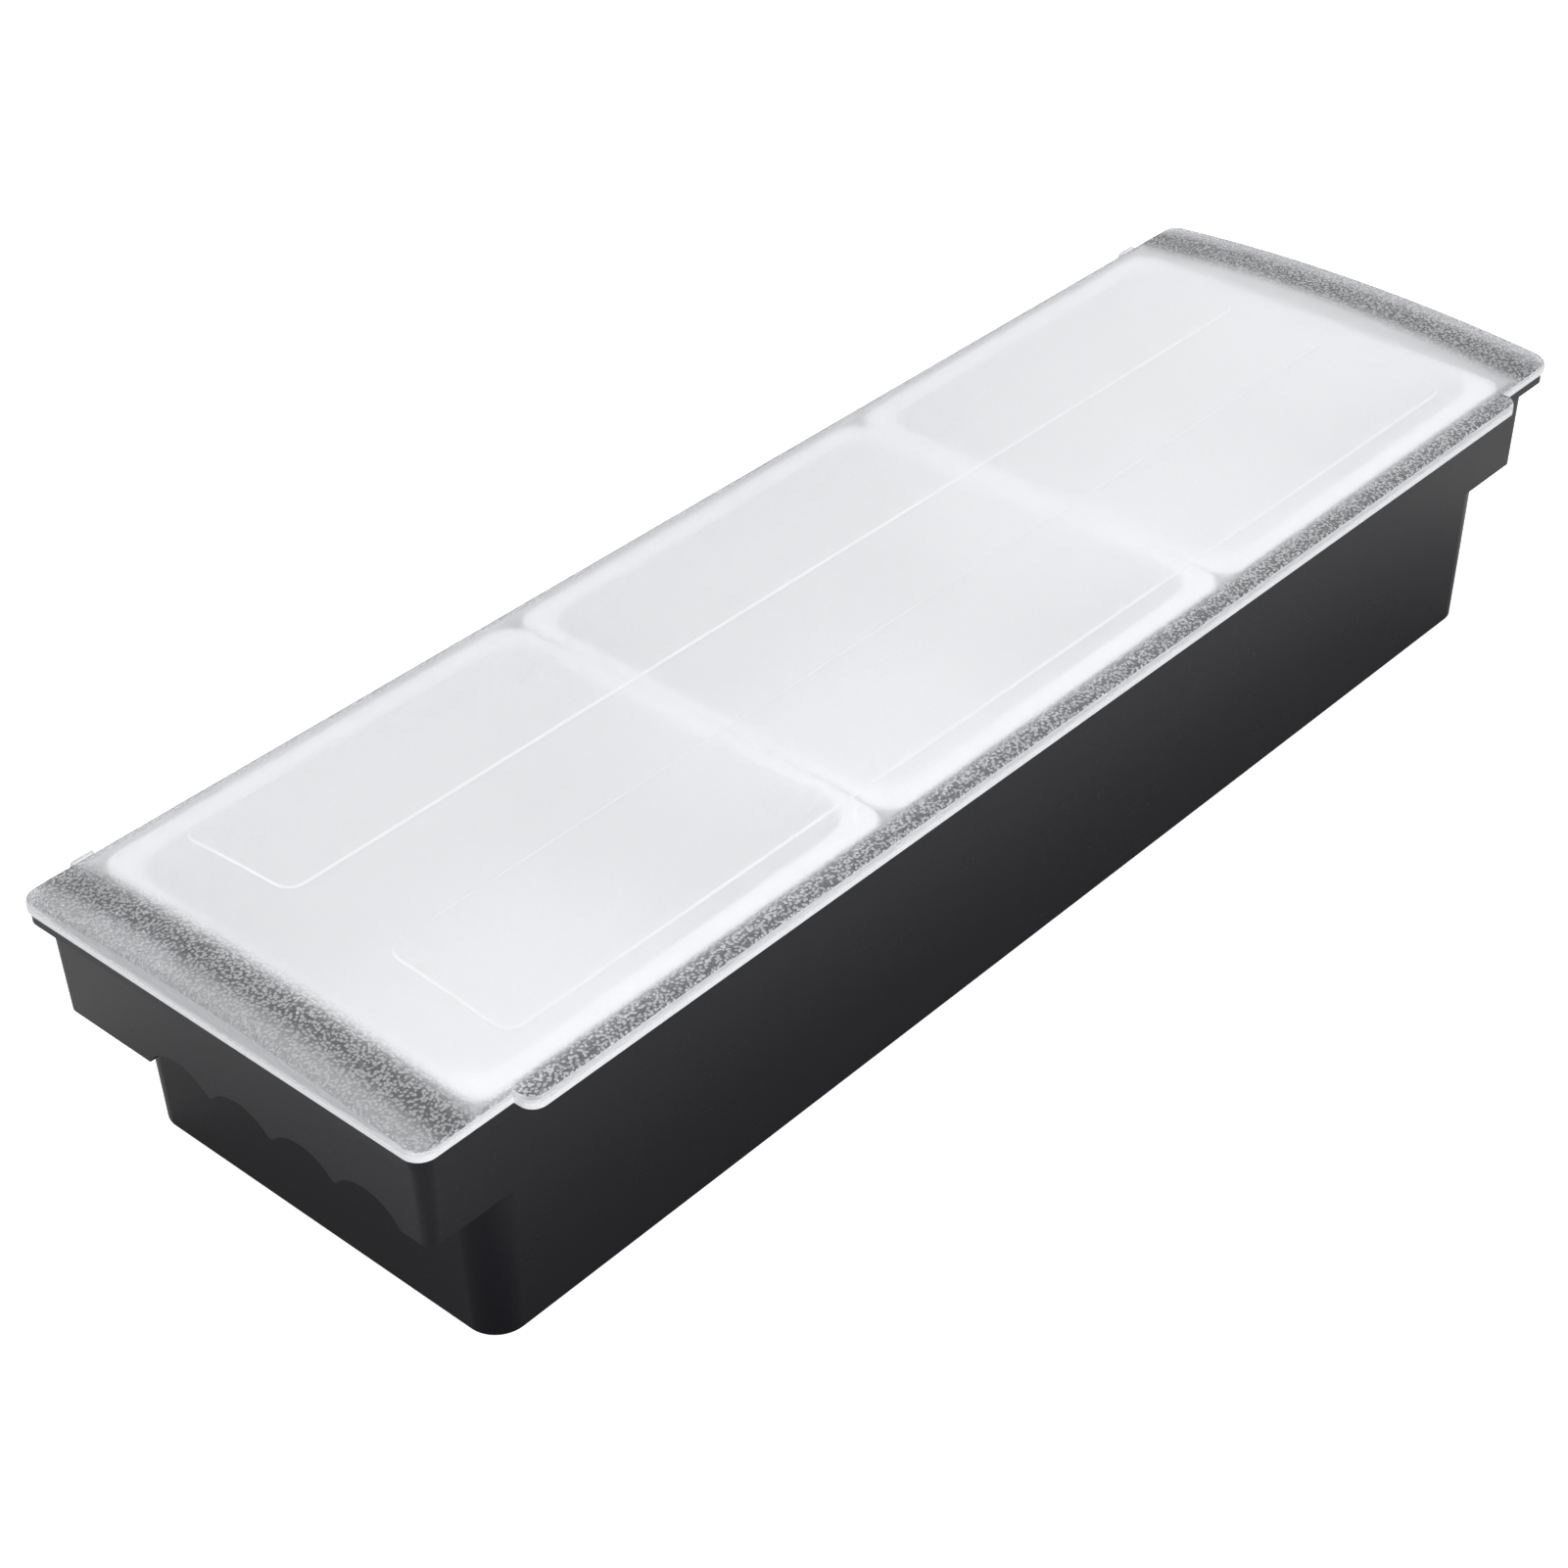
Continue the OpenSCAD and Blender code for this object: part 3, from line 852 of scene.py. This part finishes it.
def makeFloor():
    calm()
    bpy.ops.mesh.primitive_plane_add(size=studio["floorSize"])
    floor = bpy.context.active_object
    floor.name = "studio_floor"
    material, tree, shader = newMaterial("studioFloor")
    # painted shade: the floor is darker close to the tray, standing in for the shade under it
    coords = addNode(tree, "ShaderNodeTexCoord")
    split = addNode(tree, "ShaderNodeSeparateXYZ")
    tree.links.new(coords.outputs["Object"], split.inputs[0])
    away = []
    for axis, edge in (("X", lidHalf), ("Y", lidBack)):
        out = mathNode(tree, "SUBTRACT", mathNode(tree, "ABSOLUTE", split.outputs[axis]), edge)
        away.append(mathNode(tree, "POWER", mathNode(tree, "MAXIMUM", out, 0.0), 2.0))
    distance = mathNode(tree, "SQRT", mathNode(tree, "ADD", *away))
    levels = (studio["floorPaintedShade"], studio["floorColour"])
    floorShadeTone = fadeBetween(tree, distance, (0.0, studio["floorPaintedShadeFade"]), levels)
    tree.links.new(floorShadeTone, shader.inputs["Base Color"])
    shader.inputs["Roughness"].default_value = 1
    shader.inputs["Specular IOR Level"].default_value = 0
    path = addNode(tree, "ShaderNodeLightPath")
    glow = 0
    for ray, fill in (
        ("Is Camera Ray", "cameraFill"), ("Is Transmission Ray", "clearFill"), ("Is Glossy Ray", "mirrorFill"),
    ):
        glow = mathNode(tree, "MAXIMUM", mathNode(tree, "MULTIPLY", path.outputs[ray], studio[fill]), glow)
    shader.inputs["Emission Color"].default_value = (1, 1, 1, 1)
    tree.links.new(glow, shader.inputs["Emission Strength"])
    floor.data.materials.append(material)


def makeWorld():
    world = bpy.context.scene.world or bpy.data.worlds.new("studio")
    bpy.context.scene.world = world
    world.use_nodes = True
    tree = world.node_tree
    tree.nodes.clear()
    output = addNode(tree, "ShaderNodeOutputWorld")
    sky = addNode(tree, "ShaderNodeBackground")
    sky.inputs["Color"].default_value = (1, 1, 1, 1)
    coords = addNode(tree, "ShaderNodeTexCoord")
    toward = addNode(tree, "ShaderNodeVectorMath", operation="DOT_PRODUCT")
    tree.links.new(coords.outputs["Generated"], toward.inputs[0])
    toward.inputs[1].default_value = studio["openSide"]
    levels = (studio["farSky"], studio["nearSky"])
    light = fadeBetween(tree, toward.outputs["Value"], studio["skyEdge"], levels)
    path = addNode(tree, "ShaderNodeLightPath")
    strength = mathNode(tree, "MAXIMUM", light, path.outputs["Is Camera Ray"])
    tree.links.new(strength, sky.inputs["Strength"])
    tree.links.new(sky.outputs[0], output.inputs["Surface"])


def makeLamp(name, place, aim, size, power, uses):
    data = bpy.data.lights.new(name, "AREA")
    data.shape = "RECTANGLE"
    data.size, data.size_y = size
    data.energy = power
    lamp = bpy.data.objects.new(name, data)
    bpy.context.scene.collection.objects.link(lamp)
    lamp.visible_glossy = "mirror" in uses
    lamp.visible_diffuse = "shade" in uses
    lamp.location = place
    lamp.rotation_euler = (Vector(aim) - Vector(place)).to_track_quat("-Z", "Y").to_euler()


# a lamp shades the matt surfaces, or is mirrored by the glossy ones, or both
lamps = {
    "overhead": {
        "place": (0.35, 0.3, 1.7), "aim": (0, 0, 0), "size": (1.8, 1.4), "power": 13, "uses": "shade",
    },
    "front": {
        "place": (-1.0, -1.5, 0.8), "aim": (0, 0, 0.05), "size": (1.2, 0.8), "power": 12, "uses": "shade",
    },
    "left": {
        "place": (-1.9, 0.7, 0.7), "aim": (0, 0, 0.05), "size": (1.2, 0.9), "power": 6, "uses": "mirror",
    },
    "back": {
        "place": (-0.6, 1.45, 1.65), "aim": (-0.2, 0, 0.09), "size": (1.1, 0.6), "power": 12, "uses": "mirror",
    },
    "backRight": {
        "place": (2.1, 1.15, 1.25), "aim": (0.24, 0, 0.09), "size": (1.1, 1.0), "power": 3.5, "uses": "mirror",
    },
}

makeFloor()
makeWorld()
for name, values in lamps.items():
    makeLamp(name, **values)

photoView = {
    "lens": 73.825, "sensor": 36, "azimuth": -47.235, "elevation": 36.118, "roll": -1.445,
    "place": (-0.59043, -0.50846, 0.58919), "nearest": 0.01,
}


def makeCamera():
    data = bpy.data.cameras.new("photoCamera")
    data.lens = photoView["lens"]
    data.sensor_width = photoView["sensor"]
    data.clip_start = photoView["nearest"]
    camera = bpy.data.objects.new("photoCamera", data)
    bpy.context.scene.collection.objects.link(camera)
    turn, lift, roll = (math.radians(photoView[key]) for key in ("azimuth", "elevation", "roll"))
    back = Vector((math.sin(turn) * math.cos(lift), -math.cos(turn) * math.cos(lift), math.sin(lift)))
    right = Vector((math.cos(turn), math.sin(turn), 0))
    up = back.cross(right)
    axes = (
        right * math.cos(roll) + up * math.sin(roll),
        up * math.cos(roll) - right * math.sin(roll),
        back,
    )
    camera.matrix_world = Matrix.Translation(photoView["place"]) @ Matrix(axes).transposed().to_4x4()
    bpy.context.scene.camera = camera


makeCamera()
bpy.context.scene.view_settings.view_transform = "Standard"
print("studio made")

calm()
